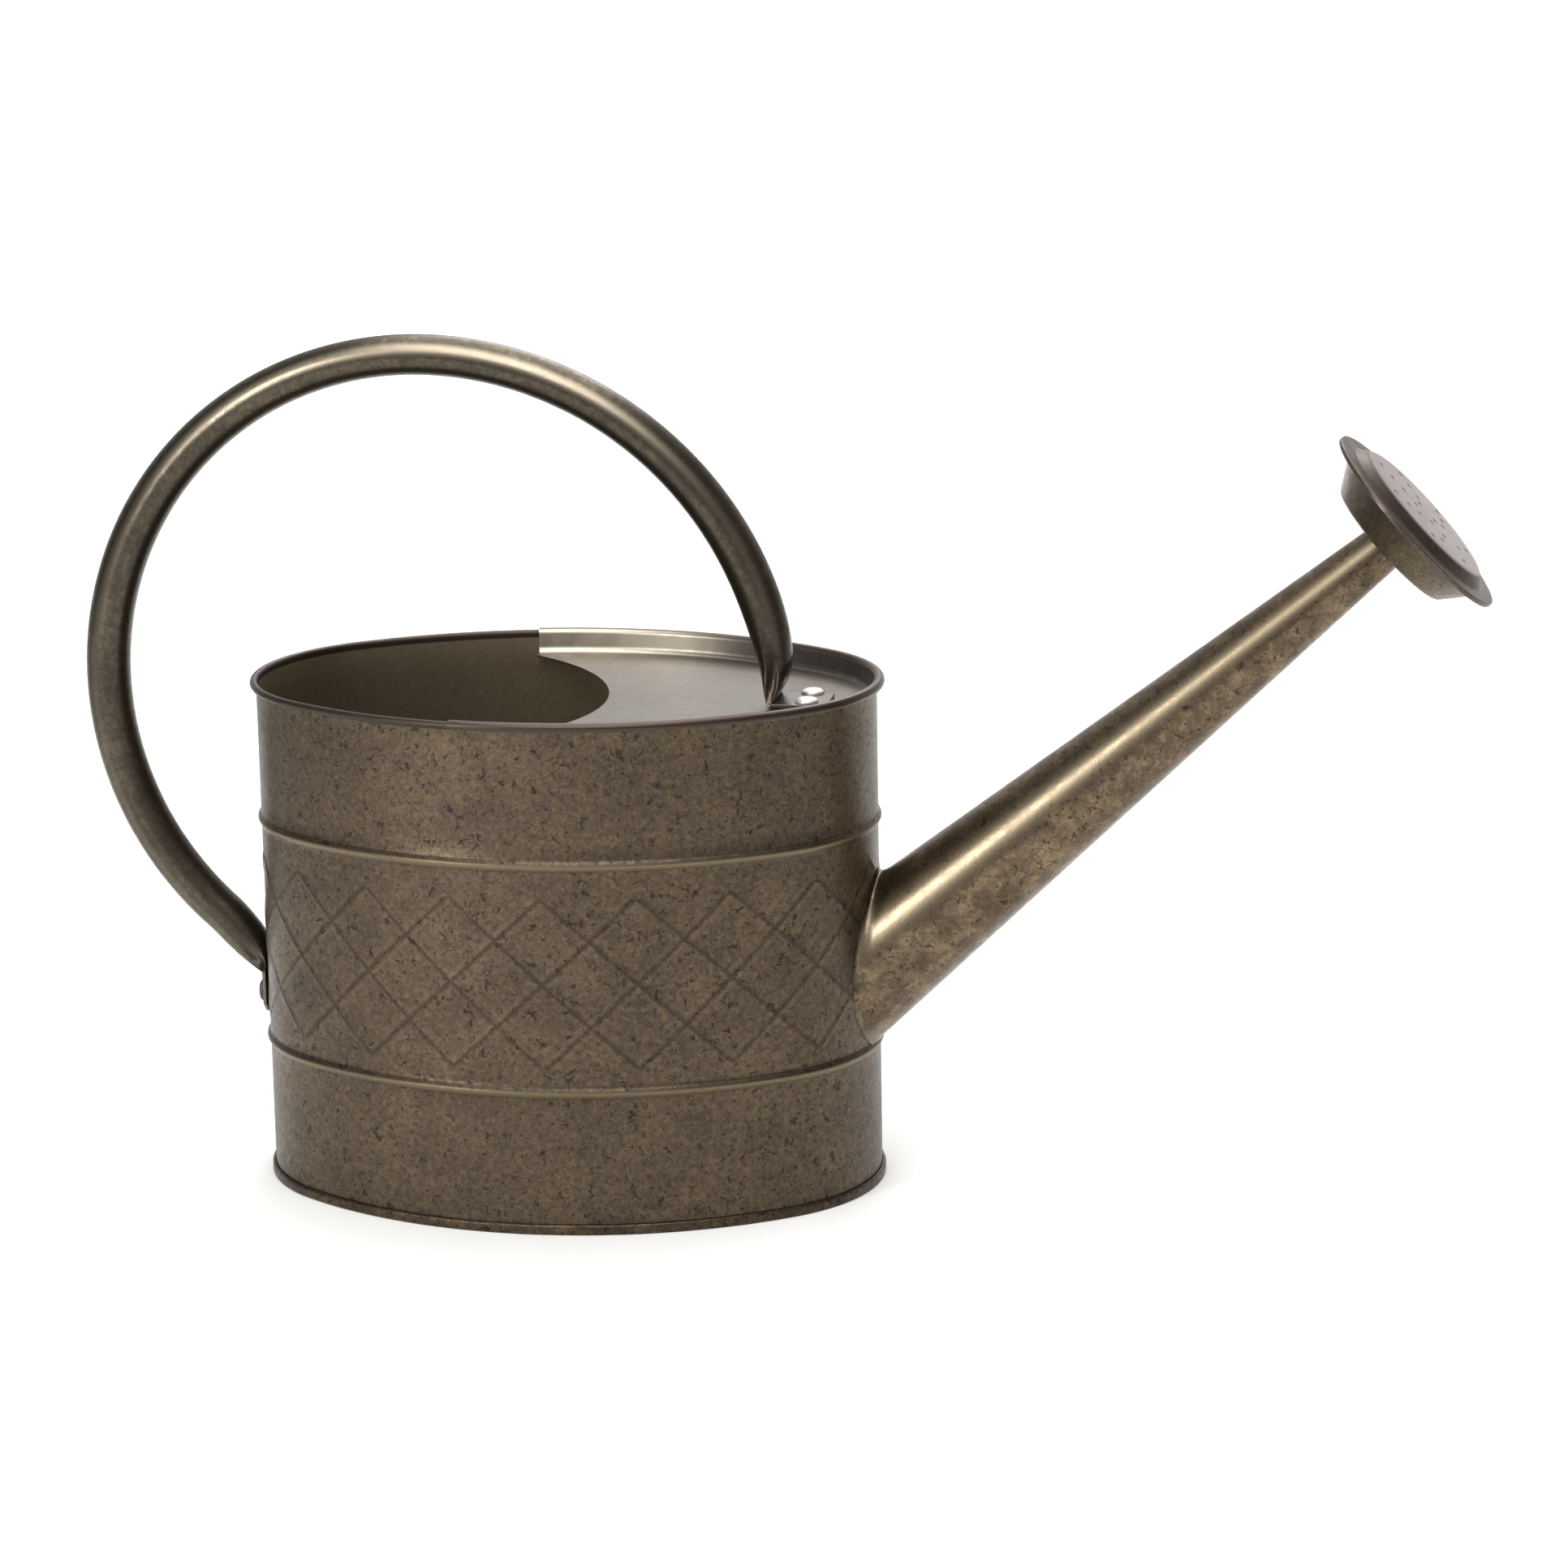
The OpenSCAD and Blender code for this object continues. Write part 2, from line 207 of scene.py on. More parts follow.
def oval(walked):
    """Point and outward normal after a length walked from the middle of the near side towards
    the spout: the arc's centre plus its radius along a normal that turns evenly."""
    walked = np.mod(walked, PERIMETER)
    heading = np.interp(walked, ARC_STARTS, ARC_HEADINGS)
    arc = np.clip(np.searchsorted(ARC_STARTS, walked, side="right") - 1, 0, len(ARC_RADII) - 1)
    normal = np.stack([np.cos(heading), np.sin(heading)], axis=-1)
    return ARC_CENTRES[arc] + ARC_RADII[arc][..., None] * normal, normal


def around_oval(walked, offset, height):
    """Carries rows of (offset outside the wall line, height) round the oval."""
    point, normal = oval(walked)
    xy = point + np.asarray(offset)[..., None] * normal
    z = np.broadcast_to(height, xy.shape[:-1])
    return np.concatenate([xy, z[..., None]], axis=-1)


print(f"oval {2 * HALF_LENGTH:.1f} x {2 * HALF_WIDTH:.1f} mm, {PERIMETER:.1f} mm round")

# %% [markdown]
# ## Finishes
# The can is steel sheet with a hand-aged finish: a brown-black patina rubbed back so that
# paler metal shows through in clouds, and spattered so that it is full of dark flecks. It is
# a thin layer on metal under a satin lacquer, so it reflects like a dull metal: highlights
# take the sheet's own golden colour, and at a glancing angle the edges turn nearly white.

# %% Node helpers
def linear(hex_colour):
    """An sRGB hex colour as linear red, green, blue and alpha."""
    values = [int(hex_colour[i:i + 2], 16) / 255 for i in (1, 3, 5)]
    return [v / 12.92 if v <= 0.04045 else ((v + 0.055) / 1.055) ** 2.4 for v in values] + [1]


def add(tree, kind, settings=None, stops=(), **inputs):
    """Adds a node, sets its properties and, if it is a ramp, its colour stops, and sets or links
    its inputs: by name, or by number where the key is i and a number."""
    node = tree.nodes.new(kind)
    for key, value in (settings or {}).items():
        setattr(node, key, value)
    for _ in stops[2:]:
        node.color_ramp.elements.new(0.5)
    for i, (position, colour) in enumerate(stops):
        element = node.color_ramp.elements[i]
        element.position, element.color = position, colour
    for key, value in inputs.items():
        numbered = key[0] == "i" and key[1:].isdigit()
        socket = node.inputs[int(key[1:]) if numbered else key]
        if isinstance(value, bpy.types.NodeSocket):
            tree.links.new(value, socket)
        else:
            socket.default_value = value
    return node


def grey(v):
    """A neutral colour."""
    return (v, v, v, 1)


def cycles_per_m(feature_mm):
    """Noise scale on Object coordinates whose blobs measure about this many millimetres."""
    return 1 / (feature_mm * MM)


# %% The aged-sheet finish
def aged_sheet(name, dark, mid, pale, fleck, cloud_mm=22, mottle_mm=2.2, fleck_mm=1.0, flecks=0.58,
               cloudy=0.35, metallic=0.9, roughness=0.40, wear_and_painted_light=(), above=None):
    """Patinated steel sheet. Clouds and a mottling of a few millimetres choose between dark, mid
    and pale; two sizes of noise above a threshold make the dark flecks. Each entry of the relief
    tone list gives the relief where a colour starts, where it is full, the colour, and how much of
    it; some of these tones are real wear, others painted highlights and painted shade. above is a
    direction, a height along it in millimetres and the colour beyond that height."""
    material = bpy.data.materials.new(name)
    material.use_nodes = True
    tree = material.node_tree
    tree.nodes.clear()

    def paint_over(colour, value, start, end, tone, most=1.0):
        """A tone over a colour: none where the value is at start, most where it is at end."""
        mask = add(tree, "ShaderNodeMapRange", i0=value, i1=start, i2=end, i4=most).outputs[0]
        return add(tree, "ShaderNodeMix", {"data_type": "RGBA"}, i0=mask, i6=colour,
                   i7=linear(tone)).outputs[2]

    place = add(tree, "ShaderNodeTexCoord").outputs["Object"]
    clouds = add(tree, "ShaderNodeTexNoise", Vector=place, Scale=cycles_per_m(cloud_mm),
                 Detail=3.0, Roughness=0.6).outputs["Fac"]
    mottle = add(tree, "ShaderNodeTexNoise", Vector=place, Scale=cycles_per_m(mottle_mm),
                 Detail=4.0, Roughness=0.75, Distortion=0.5).outputs["Fac"]
    both = add(tree, "ShaderNodeMix", i0=cloudy, i2=mottle, i3=clouds).outputs[0]
    colour = add(tree, "ShaderNodeValToRGB", Fac=both, stops=[
        (0.38, linear(dark)), (0.5, linear(mid)), (0.62, linear(pale))]).outputs[0]
    for size, top in ((fleck_mm, flecks), (fleck_mm * 2.6, flecks + 0.01)):
        speck = add(tree, "ShaderNodeTexNoise", Vector=place, Scale=cycles_per_m(size),
                    Detail=3.0, Roughness=0.6, Distortion=0.6).outputs["Fac"]
        colour = paint_over(colour, speck, top, top + 0.05, fleck, 0.85)
    relief = add(tree, "ShaderNodeAttribute", {"attribute_name": "relief"}).outputs["Fac"]
    for start, end, tone, most in wear_and_painted_light:
        colour = paint_over(colour, relief, start, end, tone, most)
    if above:
        direction, start_mm, tone = above
        height = add(tree, "ShaderNodeVectorMath", {"operation": "DOT_PRODUCT"}, i0=place,
                     i1=direction).outputs["Value"]
        colour = paint_over(colour, height, start_mm * MM, (start_mm + 0.5) * MM, tone)
    rough = add(tree, "ShaderNodeMapRange", i0=both, i1=0.35, i2=0.65, i3=roughness + 0.08,
                i4=roughness - 0.05).outputs[0]
    bump = add(tree, "ShaderNodeBump", Height=mottle, Strength=0.15,
               Distance=0.0003).outputs["Normal"]
    shader = add(tree, "ShaderNodeBsdfPrincipled", **{"Base Color": colour, "Metallic": metallic,
                 "Roughness": rough, "Normal": bump})
    add(tree, "ShaderNodeOutputMaterial", Surface=shader.outputs[0])
    print("finish:", name)
    return material


# %% The can's finishes
BEAD_TONE_Z, HEM_TONE_Z = 197.2, 198.9
HEM_TILT = -0.019
# Tones picked by the wall's relief: painted shade and painted light for the pressed lines and ribs,
# and painted light on the inside.
WALL_PAINTED_SHADE_AND_LIGHT = [
    (0.10, 0.45, "#2a231e", 0.50),    # painted shade along the pressed lines and on the ribs' upper flanks
    (0.72, 1.0, "#98876a", 0.42),     # painted highlight on the ribs' lower flanks and crests
    (-0.02, -0.12, "#75664f", 0.30),  # painted light beside each line
    (-1.5, -2.0, "#b5a488", 0.38)]    # painted light on the inside, which lies in shade
# Dark flecks on rubbed brown: the wall looks like old sheet, hand-finished, not painted.
WALL_FINISH = aged_sheet("rubbed_patina_sheet", "#483d34", "#55493c", "#665743", "#27211e",
                         cloudy=0.25, fleck_mm=1.2, flecks=0.595, metallic=0.85,
                         wear_and_painted_light=WALL_PAINTED_SHADE_AND_LIGHT, above=((0, 0, 1), BEAD_TONE_Z, "#40362f"))
# A little darker than the wall, so the foot reads as a separate, folded band.
FOOT_FINISH = aged_sheet("rubbed_patina_seam", "#3f352d", "#4e4235", "#62543f", "#241f1b")
# Almost no flecks and broad clouds: smooth satin sheet that takes the sky's gradient, with its
# hem dark and its far flange rubbed nearly to bare metal.
COVER_FINISH = aged_sheet("satin_cover_sheet", "#5f5952", "#676059", "#716960", "#4e4840",
                          cloud_mm=40, mottle_mm=5, flecks=0.70, roughness=0.34,
                          above=((0, HEM_TILT, 1), HEM_TONE_Z, "#463b34"),
                          wear_and_painted_light=[(0.0, 1.0, "#cfc5b2", 0.75)])
# Dark and smoother than the sheet, as a tube is that hands have held, with greyer pressed tabs and
# a painted highlight along the tube's upper front, strongest near the crown.
HANDLE_FINISH = aged_sheet("dark_patina_tube", "#3d3730", "#494238", "#595145", "#2f2a25",
                           cloud_mm=30, mottle_mm=3, flecks=0.68, roughness=0.30,
                           wear_and_painted_light=[(0.1, 0.9, "#b3a691", 0.62), (-0.5, -1.0, "#6d665d", 0.8)])
# Golden and blotchy: heat and solder have coloured the cone. A painted highlight streak runs along
# its upper front.
SPOUT_FINISH = aged_sheet("gold_patina_cone", "#4c4135", "#625444", "#806f56", "#2b241d",
                          cloud_mm=12, mottle_mm=4, flecks=0.60, roughness=0.27, cloudy=0.45,
                          wear_and_painted_light=[(0.1, 0.9, "#ac9d82", 0.5)])
# The same brown as the wall with fewer flecks: a drawn pressing.
DISH_FINISH = aged_sheet("patina_rose_dish", "#40362c", "#4e4337", "#615541", "#2b241d",
                         cloud_mm=14, flecks=0.64, roughness=0.34)
# Bright steel heads are the two lightest spots on the can.
RIVET_FINISH = aged_sheet("bright_rivet_steel", "#bbb8b1", "#c6c3bc", "#d2cfc8", "#a09b93",
                          cloud_mm=4, mottle_mm=1.5, flecks=0.72, metallic=0.6, roughness=0.40)
# Greyish steel left as it came, for the pieces that hardly show.
DULL_FINISH = aged_sheet("dull_steel", "#4d463f", "#5a524a", "#686056", "#332e29", cloud_mm=6,
                         flecks=0.68, roughness=0.42)

# %% [markdown]
# ## The wall
# The real wall is one strip of sheet, run through rollers that raise two ribs, pressed with a
# lattice of narrow lines between them, bent into the oval, and curled outwards over a wire
# along the top. Here it is one profile, a list of offsets and heights, carried round the
# oval. The lattice is added as a height on the grid, because its lines run across both
# directions of the grid and would need a separate piece each if they were modelled.

# %% Heights along the wall
RIB_OUT, RIB_BAND = 1.3, 5.0
UPPER_RIB_Z, LOWER_RIB_Z = 145.5, 56.5
DIAMONDS = 18
PITCH = PERIMETER / DIAMONDS
HALF_STEP = 16.83
LATTICE_TOP = 132.7
LATTICE_BOTTOM = LATTICE_TOP - 4 * HALF_STEP
LATTICE_START = 5.5
CELLS = 16
LINE_OUT, LINE_W = 0.55, 0.78
DIP_SHARE, DIP_WIDER = 0.3, 2.4


def rib(z, middle):
    """A raised cosine over the rib's band, with a slightly flattened top."""
    t = np.clip((z - middle) / RIB_BAND + 0.5, 0, 1)
    return RIB_OUT * ((1 - np.cos(2 * math.pi * t)) / 2) ** 0.75


def lattice(walked, z):
    """Embossed lines. Two families of slanted lines lie where a whole number of pitches plus
    or minus height is reached; each is a narrow bell across with a shallow dip beside it."""
    across = (walked - LATTICE_START) / PITCH
    along = (z - LATTICE_TOP) / (2 * HALF_STEP)
    spacing = 1 / math.hypot(1 / PITCH, 1 / (2 * HALF_STEP))
    relief = 0
    for family in (across + along, across - along):
        distance = np.abs(family - np.round(family)) * spacing
        dip = DIP_SHARE * np.exp(-(distance / (DIP_WIDER * LINE_W)) ** 2)
        line = np.exp(-(distance / LINE_W) ** 2) - dip
        relief = np.maximum(relief, line) + np.minimum(0, line)
    edge = blend01((z - LATTICE_BOTTOM + 1) / 2) * blend01((LATTICE_TOP + 1 - z) / 2)
    return LINE_OUT * relief * edge


def bead_arc(r, start, end, count):
    """Offsets and heights along an arc of the rim's bead, angles in degrees."""
    angle = np.radians(np.linspace(start, end, count))
    return BEAD_X + r * np.cos(angle), BEAD_Z + r * np.sin(angle)


print(f"lattice: {DIAMONDS} diamonds {PITCH:.1f} mm wide and {2 * HALF_STEP:.1f} mm high")

# %% The embossed wall
CURL_END = -115
# Relief on the inside picks a painted light in the wall's finish, where the inside lies in shade.
INSIDE_RELIEF = -2.0
RIB_TOPS = (LOWER_RIB_Z + RIB_BAND / 2, UPPER_RIB_Z + RIB_BAND / 2)
RIB_FEET = (LOWER_RIB_Z - RIB_BAND / 2, UPPER_RIB_Z - RIB_BAND / 2)
wall_walk = LATTICE_START + np.arange(DIAMONDS * 2 * CELLS) * PITCH / (2 * CELLS)
outer_z = stations(SHEET + SEAM_GAP, 7, RIB_FEET[0], 12, RIB_TOPS[0], 4, LATTICE_BOTTOM - 1.2, 1,
                   LATTICE_BOTTOM, 4 * CELLS, LATTICE_TOP, 1, LATTICE_TOP + 1.2, 6, RIB_FEET[1], 12,
                   RIB_TOPS[1], 8, BEAD_Z)[:-1]
inner_z = stations(BEAD_Z, 4, RIB_TOPS[1], 8, RIB_FEET[1], 8, RIB_TOPS[0], 8, RIB_FEET[0], 4,
                   SHEET + SEAM_GAP)[1:]
curl_in = bead_arc(BEAD_R - SHEET, 180, CURL_END, 12)
curl_out = bead_arc(BEAD_R, CURL_END, 180, 18)


def with_ribs(z):
    """Height of both ribs over the plain wall."""
    return rib(z, UPPER_RIB_Z) + rib(z, LOWER_RIB_Z)


def rib_highlight_and_shade(z):
    """Relief on the ribs for the finish: a sine wave up each rib's band, whose first, positive
    part, up to and over the crest, takes a painted highlight, and whose second, on the upper flank,
    takes painted shade."""
    step = [np.clip((z - m) / RIB_BAND + 0.5, 0, 1) for m in (UPPER_RIB_Z, LOWER_RIB_Z)]
    wave = sum(np.sin(1.4 * math.pi * t) * (t < 1) for t in step)
    return np.where(wave > 0.1, 0.75 + 0.3 * wave, -0.5 * np.minimum(wave, 0))


outer = with_ribs(outer_z)[:, None] + lattice(wall_walk[None], outer_z[:, None])
profile_x = np.concatenate([curl_in[0], curl_out[0], with_ribs(inner_z) - SHEET])
profile_z = np.concatenate([curl_in[1], curl_out[1], inner_z])
wall_x = np.concatenate([outer, np.repeat(profile_x[:, None], len(wall_walk), axis=1)])
wall_z = np.concatenate([outer_z, profile_z])
# The relief picks painted shade and painted light along the lattice's lines and on the ribs.
outer_relief = lattice(wall_walk[None], outer_z[:, None]) / LINE_OUT + rib_highlight_and_shade(outer_z)[:, None]
bead_relief = np.zeros((len(curl_in[0]) + len(curl_out[0]), len(wall_walk)))
bead_relief[-1] = INSIDE_RELIEF
inner_relief = np.full((len(inner_z), len(wall_walk)), INSIDE_RELIEF)
wall_grid = around_oval(wall_walk[None], wall_x, wall_z[:, None])
wall = make_piece("embossed_wall", [(wall_grid, True, True)],
                  relief=np.concatenate([outer_relief, bead_relief, inner_relief]))
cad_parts["rim_wire"].data.materials.clear()
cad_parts["rim_wire"].data.materials.append(DULL_FINISH)

# %% [markdown]
# ## The foot
# The floor is a pan pressed from one sheet. Its edge is folded up round the foot of the wall
# and rolled tight, which leaves a rounded band a few millimetres high with a dark crease
# above it. The can stands on the fold, so the floor itself hangs a little above the ground.

# %% The base pan
FOOT_OUT, FOOT_HEIGHT = 1.4, 4.0
SKIRT = SHEET + SEAM_GAP
FLOOR_Z = box_mm("base_pan")[1][2]


def corner_arc(centre, r, start, end, count=5):
    """Points (offset, height) round a corner, angles in degrees."""
    angle = np.radians(np.linspace(start, end, count))
    return np.stack([centre[0] + r * np.cos(angle), centre[1] + r * np.sin(angle)], axis=-1)


def foot_profile():
    """The fold's outline, from the floor's underside round the band to the floor's top."""
    inner = -SKIRT - SHEET
    band_r = 0.9
    return np.concatenate([
        [[inner - 1, FLOOR_Z - SHEET]],
        corner_arc((inner - 1, FLOOR_Z - SHEET - 1), 1, 90, 0),
        corner_arc((inner + 0.5, 0.5), 0.5, 180, 270),
        corner_arc((FOOT_OUT - band_r, band_r), band_r, 270, 360),
        corner_arc((FOOT_OUT - band_r, FOOT_HEIGHT - band_r), band_r, 0, 100),
        [[SEAM_GAP, FOOT_HEIGHT - 0.8], [SEAM_GAP, SHEET], [-SKIRT, SHEET], [-SKIRT, FLOOR_Z],
         [inner - 1, FLOOR_Z]]])


foot_walk = np.linspace(0, PERIMETER, 288, endpoint=False)
profile = foot_profile()
band = around_oval(foot_walk[None], profile[:, 0, None], profile[:, 1, None])
shrink = np.linspace(0, 1, 9)[:, None, None] * [1, 1, 0] + [0, 0, 1]
pan_grid = np.concatenate([band[:1] * shrink[:-1], band, band[-1:] * shrink[::-1][1:]])
pan = make_piece("folded_base_pan", [(pan_grid, False, True)])
finish_piece(pan, "can", "base_pan", FOOT_FINISH)

# %% [markdown]
# ## The half cover
# The cover is a flat sheet with a round bite taken out for filling. Its edge is turned up
# against the inside of the wall and hemmed over the rim. Pressing leaves a soft bend where
# plate and flange meet, and the free edge of the bite sags a little. The plate is ruled
# between two curves, the bite's arc and the oval, and the rest is a profile carried along the
# oval. Top and underside are two grids a sheet apart, joined by strips along their edges.

# %% The cover sheet
PLATE_Z = 191.5
BEND_R = 2.6
PLATE_SAG = 1.8
BITE_R, BITE_X = 90.0, 15.5
COVER_END_X = -27.5
HEM_END = -30
BRUSHED_ROW, BRUSHED_COLUMN = 26, 270


def sheet_grids(top, bottom, ring=False):
    """The grids of a closed sheet: both sides, the strips along the first and last row and,
    unless the columns are a ring, those along the first and last column."""
    strips = [np.stack([top[i], bottom[i]]) for i in (0, -1)]
    grids = [(g, False, ring) for g in (top, bottom, *strips)]
    if not ring:
        grids += [(np.stack([top[:, i], bottom[:, i]]), False, False) for i in (0, -1)]
    return grids


def cover_side(down):
    """One side of the cover, down millimetres under its upper side: the ruled plate, a quarter
    bend, the flange and the hem's arc."""
    end_walk = SIDE_R * math.asin(COVER_END_X / SIDE_R)
    walk = np.linspace(end_walk, PERIMETER / 2 - end_walk, 361)
    bend_x = -SKIRT - SHEET - BEND_R
    outer_edge = around_oval(walk, np.full_like(walk, bend_x), PLATE_Z)
    half = math.acos((COVER_END_X - BITE_X + BITE_R) / BITE_R)
    angle = np.linspace(-half, half, len(walk))
    bite = np.stack([BITE_X - BITE_R + BITE_R * np.cos(angle), BITE_R * np.sin(angle),
                     np.full_like(angle, PLATE_Z)], axis=-1)
    across = np.linspace(0, 1, 28)[:-1, None, None]
    plate = bite + across * (outer_edge - bite)
    plate[..., 2] -= down + PLATE_SAG * (1 - across[..., 0]) ** 2 * np.cos(angle) ** 2
    bend = corner_arc((bend_x, PLATE_Z + BEND_R), BEND_R + down, -90, 0, 8)
    hem = np.stack(bead_arc(BEAD_R + SEAM_GAP + SHEET - down, 180, HEM_END, 14), axis=-1)
    profile = np.concatenate([bend, hem])
    turn_up = around_oval(walk[None], profile[:, 0, None], profile[:, 1, None])
    return np.concatenate([plate, turn_up])


top, bottom = cover_side(0), cover_side(SHEET)
row, column = np.indices(top.shape[:2])
brushed = (blend01((row - BRUSHED_ROW) / 4) * blend01((column - BRUSHED_COLUMN) / 70))[..., None]
cover = make_piece("half_cover", sheet_grids(top, bottom), relief=np.concatenate(
    [np.ravel(g[0]) for g in sheet_grids(brushed, brushed)]))
finish_piece(cover, "can", "cover_plate", COVER_FINISH)

# %% [markdown]
# ## The handle
# The handle is one tube, bent in two sweeps that meet level at the top. Its ends are squeezed
# flat in a press, folded over and riveted. While a tube goes flat its outline keeps its
# length, so it grows wider as it gets thinner, and its sides buckle inwards into a crease.
# Each cross-section is an oval outline that slides from a circle to a flat bar by one number,
# the squeeze, which fades away from the fold.

# %% The handle's path
TUBE_D, TAB_W, TAB_T = 16.6, 25.0, 1.8
FRONT_HEADING, REAR_HEADING = math.radians(100), math.radians(318)
FRONT_FOOT = np.array([HALF_LENGTH - 39, PLATE_Z + 18.5])
REAR_FOOT = np.array([-HALF_LENGTH - 19.5, 101.0])
FRONT_FOLD = np.array([82.0, PLATE_Z + SEAM_GAP + TAB_T / 2])
FOLD_BACK, TAB_L = 3.2, 25
FRONT_TAB_END = FRONT_FOOT[0] - FOLD_BACK + TAB_L
REAR_FOLD = np.array([-HALF_LENGTH - SEAM_GAP - TAB_T / 2, 80.5])
REAR_TAB_Z = 63.0
FOLD_R, PULL = 2.2, 5


def sweep_radii():
    """Radii of the two sweeps: the sweeps are level where they meet, so the span between the
    feet is a sum of two fixed directions, each times its own radius."""
    front = [-math.sin(FRONT_HEADING), math.cos(FRONT_HEADING) + 1]
    rear = [math.sin(REAR_HEADING), -1 - math.cos(REAR_HEADING)]
    return np.linalg.solve(np.array([front, rear]).T, REAR_FOOT - FRONT_FOOT)


def sweep(foot, heading, r, start, end, count):
    """Points on a sweep through its foot, for headings from start to end: the centre lies to
    the left of the way it runs."""
    turn = np.linspace(start, end, count)[:, None]
    centre = foot + r * np.array([-math.sin(heading), math.cos(heading)])
    return centre + r * np.concatenate([np.sin(turn), -np.cos(turn)], axis=1)


def bezier(a, b, c, d, count):
    """A cubic curve from a to d that leaves towards b and arrives from c."""
    t = np.linspace(0, 1, count)[:, None]
    return a * (1 - t) ** 3 + 3 * b * t * (1 - t) ** 2 + 3 * c * t ** 2 * (1 - t) + d * t ** 3


def foot_path(tab_end, fold, foot, away, lean):
    """From a tab's end along the tab, round the fold and up to the full tube's end. lean is
    the direction in which the squeezed tube leaves the fold."""
    tab_way = (tab_end - fold) / np.linalg.norm(tab_end - fold)
    tab = tab_end + (fold + FOLD_R * tab_way - tab_end) * np.linspace(0, 1, 14)[:, None]
    fold_curve = bezier(tab[-1], fold + 0.3 * tab_way, fold + 0.3 * lean, fold + FOLD_R * lean, 8)
    rise = bezier(fold_curve[-1], fold_curve[-1] + PULL * lean, foot - PULL * away, foot, 22)
    return np.concatenate([tab, fold_curve[1:], rise[1:]])


def heading_way(heading):
    """Unit direction of a heading."""
    return np.array([math.cos(heading), math.sin(heading)])


front_r, rear_r = sweep_radii()
front_path = foot_path(np.array([FRONT_TAB_END, FRONT_FOLD[1]]), FRONT_FOLD, FRONT_FOOT,
                       heading_way(FRONT_HEADING), heading_way(math.radians(84)))
rear_path = foot_path(np.array([REAR_FOLD[0], REAR_TAB_Z]), REAR_FOLD, REAR_FOOT,
                      -heading_way(REAR_HEADING), heading_way(math.radians(133)))
front_sweep = sweep(FRONT_FOOT, FRONT_HEADING, front_r, FRONT_HEADING, math.pi, 60)
rear_sweep = sweep(REAR_FOOT, REAR_HEADING, rear_r, math.pi, REAR_HEADING, 90)
path = np.concatenate([front_path, front_sweep[1:], rear_sweep[1:], rear_path[::-1][1:]])
print(f"handle sweeps: {front_r:.1f} and {rear_r:.1f} mm")


# %% The handle
FRONT_FADE, REAR_FADE = 11.5, 6.5
CREASE = 0.20
# The handle's painted highlight: its angle round the tube, its spread, and the heights over which
# it grows to full strength near the crown.
HANDLE_HIGHLIGHT_ANGLE, HANDLE_HIGHLIGHT_SPREAD = math.radians(206), 0.26
HANDLE_HIGHLIGHT_LOW, HANDLE_HIGHLIGHT_HIGH = 262, 322


def squeeze_along(path, fold, fade):
    """The length walked, and the squeeze: 1 from a tab's end to its fold, then falling off
    exponentially along the tube."""
    steps = np.linalg.norm(np.diff(path, axis=0), axis=1)
    walked = np.concatenate([[0], np.cumsum(steps)])
    at_fold = walked[np.argmin(np.linalg.norm(path - fold, axis=1))]
    return walked, np.exp(-np.maximum(0, walked - at_fold) / fade)


def handle_grid(columns=72):
    """Cross-sections along the path and their relief: 1 along a painted highlight on the tube's
    upper front, strongest near the crown, falling to -1 on the tabs, which take a greyer tone. A
    section's width and thickness slide from the tube's to the tab's by the squeeze, its outline
    from a circle to a rounded bar by a power on sine and cosine, and half-way through the squeeze
    its sides are dented into a crease."""
    front_walk, front_squeeze = squeeze_along(path, FRONT_FOLD, FRONT_FADE)
    rear_walk, rear_squeeze = squeeze_along(path[::-1], REAR_FOLD, REAR_FADE)
    squeeze = np.maximum(front_squeeze, rear_squeeze[::-1])[:, None]
    way = np.gradient(path, axis=0)
    way /= np.linalg.norm(way, axis=1)[:, None]
    up = np.stack([-way[:, 1], way[:, 0]], axis=-1)
    heading = np.unwrap(np.arctan2(way[:, 1], way[:, 0]))[:, None]
    roundness = 1 - 0.045 * np.cos(2 * heading) * (1 - squeeze)
    end_gap = np.minimum(front_walk, rear_walk[::-1])[:, None]
    corner = np.minimum(0, end_gap - 4) * (end_gap < 4)
    half_w = TUBE_D / 2 + (TAB_W / 2 - TUBE_D / 2) * squeeze + corner
    half_t = (TAB_T / 2 + (TUBE_D / 2 - TAB_T / 2) * (1 - squeeze)) * roundness
    angle = np.linspace(0, 2 * math.pi, columns, endpoint=False)[None]
    power = 1 - 0.78 * squeeze ** 1.5
    y = half_w * np.sign(np.cos(angle)) * np.abs(np.cos(angle)) ** power
    n = half_t * np.sign(np.sin(angle)) * np.abs(np.sin(angle)) ** power
    crease = CREASE * np.sin(math.pi * np.clip(squeeze, 0, 1)) ** 1.2
    y = y * (1 - crease * np.exp(-(np.sin(angle) / 0.30) ** 2))
    x, z = path.T[..., None] + n * up.T[..., None]
    grid = np.stack([x, y, z], axis=-1)
    caps = grid.mean(axis=1, keepdims=True) * np.ones((1, columns, 1))
    crown = 0.25 + 0.75 * blend01((path[:, 1, None] - HANDLE_HIGHLIGHT_LOW) / (HANDLE_HIGHLIGHT_HIGH - HANDLE_HIGHLIGHT_LOW))
    # A painted highlight along the tube's upper front, and a greyer tone on the tabs.
    highlight_and_tab_tone = np.exp(-((angle - HANDLE_HIGHLIGHT_ANGLE) / HANDLE_HIGHLIGHT_SPREAD) ** 2) * crown * (1 - squeeze) - squeeze ** 4
    return np.concatenate([caps[:1], grid, caps[-1:]]), np.concatenate([highlight_and_tab_tone[:1], highlight_and_tab_tone, highlight_and_tab_tone[-1:]])


